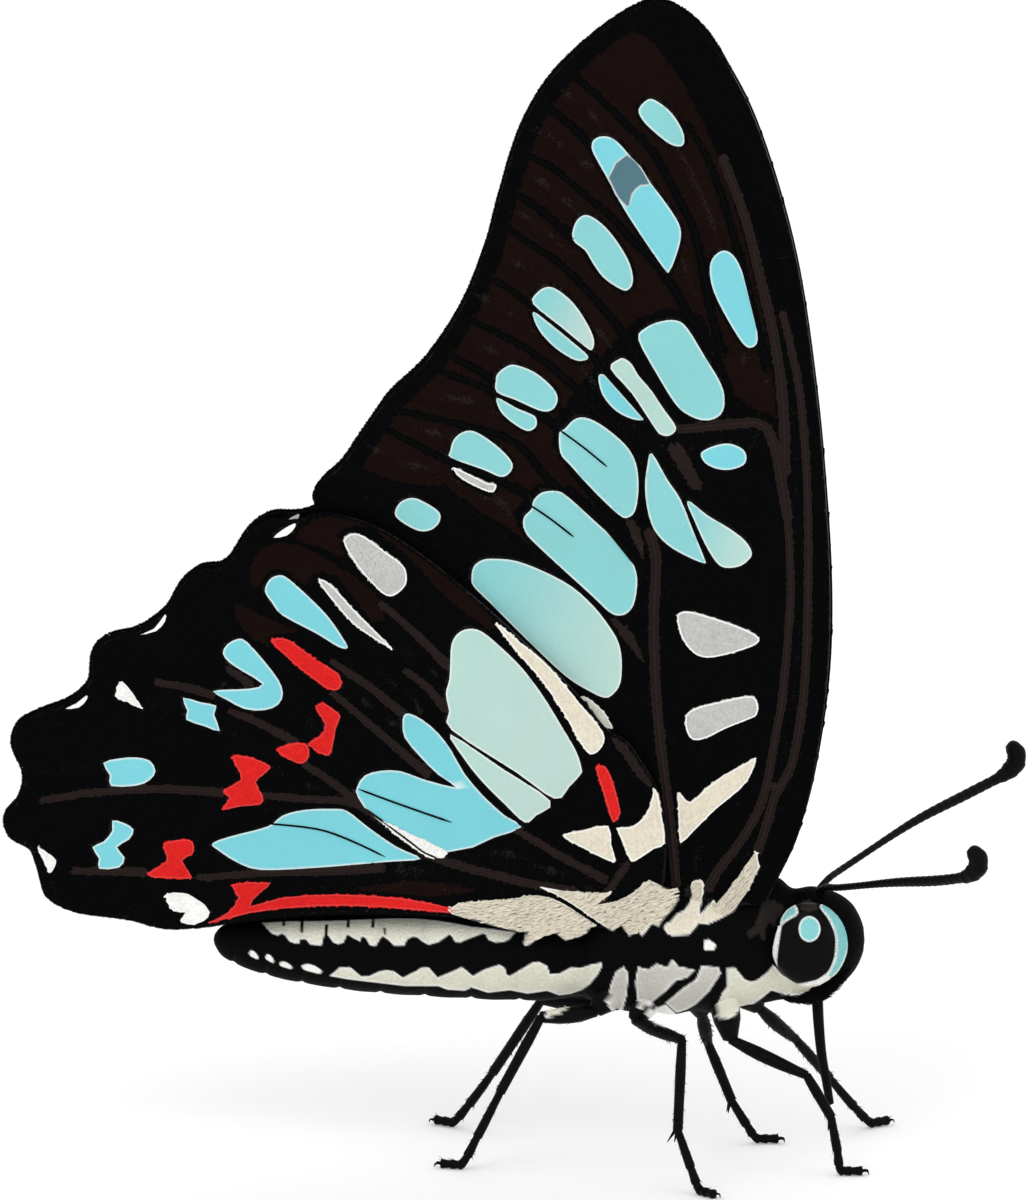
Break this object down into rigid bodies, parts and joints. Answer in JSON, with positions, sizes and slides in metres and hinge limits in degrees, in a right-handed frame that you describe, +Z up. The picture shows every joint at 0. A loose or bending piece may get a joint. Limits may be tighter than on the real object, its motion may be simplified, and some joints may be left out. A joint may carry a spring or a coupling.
{
  "type": "tailless swallowtail butterfly",
  "caption": "Still, life-size jay swallowtail butterfly at rest: scalloped wings closed over its back, tongue let down, clubbed antennae spread, standing on six feet.",
  "frame": {"origin": "on the floor, under the middle of the model's box", "axes": "+X from the abdomen's tip towards the head, +Y towards the animal's left side, +Z up"},
  "size_m": [0.0452, 0.0236, 0.0535],
  "materials": {
    "body_scales": "black scales and short hair, with bands of cream and grey",
    "wing_scales": "brown-black scales in rows, with smooth turquoise windows and cream, grey and red marks",
    "compound_eye": "glossy, almost black, with fine facets",
    "limb_cuticle": "black, satin, finely scaled"
  },
  "bodies": {
    "root": {"abdomen": "body_scales", "antenna_club_left": "limb_cuticle", "antenna_club_right": "limb_cuticle", "antenna_left": "limb_cuticle", "antenna_right": "limb_cuticle", "eye_left": "compound_eye", "eye_right": "compound_eye", "forewing_left": "wing_scales", "forewing_right": "wing_scales", "head": "body_scales", "hindwing_left": "wing_scales", "hindwing_right": "wing_scales", "leg_left_front_coxa": "limb_cuticle", "leg_left_front_femur": "limb_cuticle", "leg_left_front_tarsus": "limb_cuticle", "leg_left_front_tibia": "limb_cuticle", "leg_left_hind_coxa": "limb_cuticle", "leg_left_hind_femur": "limb_cuticle", "leg_left_hind_tarsus": "limb_cuticle", "leg_left_hind_tibia": "limb_cuticle", "leg_left_mid_coxa": "limb_cuticle", "leg_left_mid_femur": "limb_cuticle", "leg_left_mid_tarsus": "limb_cuticle", "leg_left_mid_tibia": "limb_cuticle", "leg_right_front_coxa": "limb_cuticle", "leg_right_front_femur": "limb_cuticle", "leg_right_front_tarsus": "limb_cuticle", "leg_right_front_tibia": "limb_cuticle", "leg_right_hind_coxa": "limb_cuticle", "leg_right_hind_femur": "limb_cuticle", "leg_right_hind_tarsus": "limb_cuticle", "leg_right_hind_tibia": "limb_cuticle", "leg_right_mid_coxa": "limb_cuticle", "leg_right_mid_femur": "limb_cuticle", "leg_right_mid_tarsus": "limb_cuticle", "leg_right_mid_tibia": "limb_cuticle", "neck": "body_scales", "palp_left": "body_scales", "palp_right": "body_scales", "thorax": "body_scales", "tongue": "limb_cuticle"}
  },
  "joints": []
}
